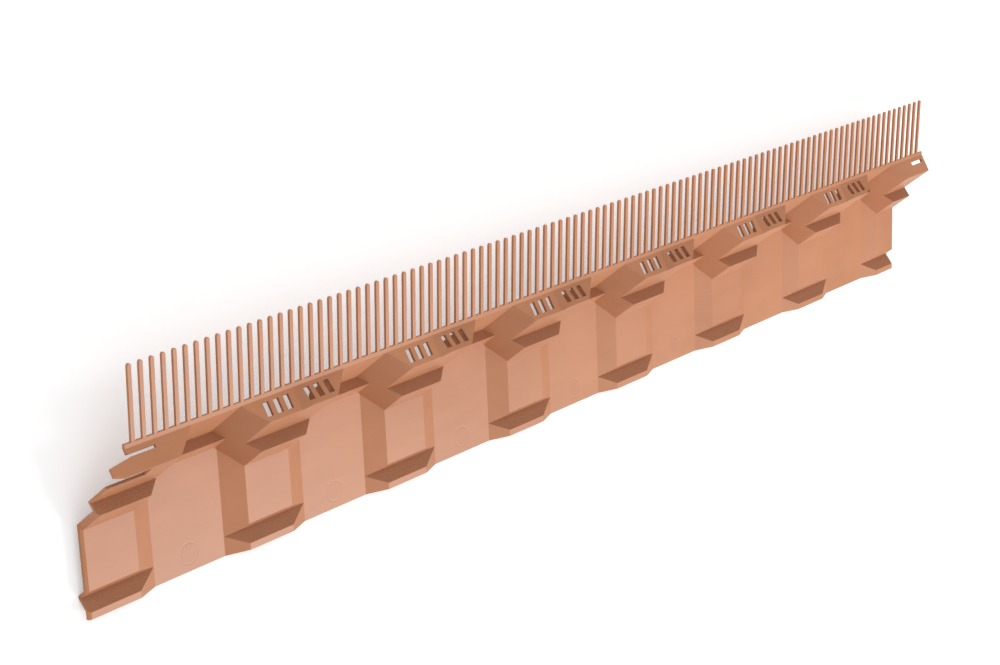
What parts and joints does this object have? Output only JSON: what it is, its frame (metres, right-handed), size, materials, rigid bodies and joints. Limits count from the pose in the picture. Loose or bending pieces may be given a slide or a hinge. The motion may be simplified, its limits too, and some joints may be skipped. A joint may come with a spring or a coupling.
{
  "type": "eaves ventilation profile",
  "caption": "Stepped plastic strip for the eaves of a tiled roof, with slotted blocks that let air in and a comb of upright teeth that keeps birds out.",
  "frame": {"origin": "centre of the outline seen from above, on the plane that the back of the strip lies on", "axes": "+X along the strip towards the end with the catch hole, +Y towards the tips of the comb, +Z out of the face"},
  "size_m": [1.0334, 0.1734, 0.0514],
  "materials": {
    "terracotta_plastic": "matt, moulded, with fine-grained ledges"
  },
  "bodies": {
    "root": {"ventilation_profile": "terracotta_plastic"}
  },
  "joints": []
}
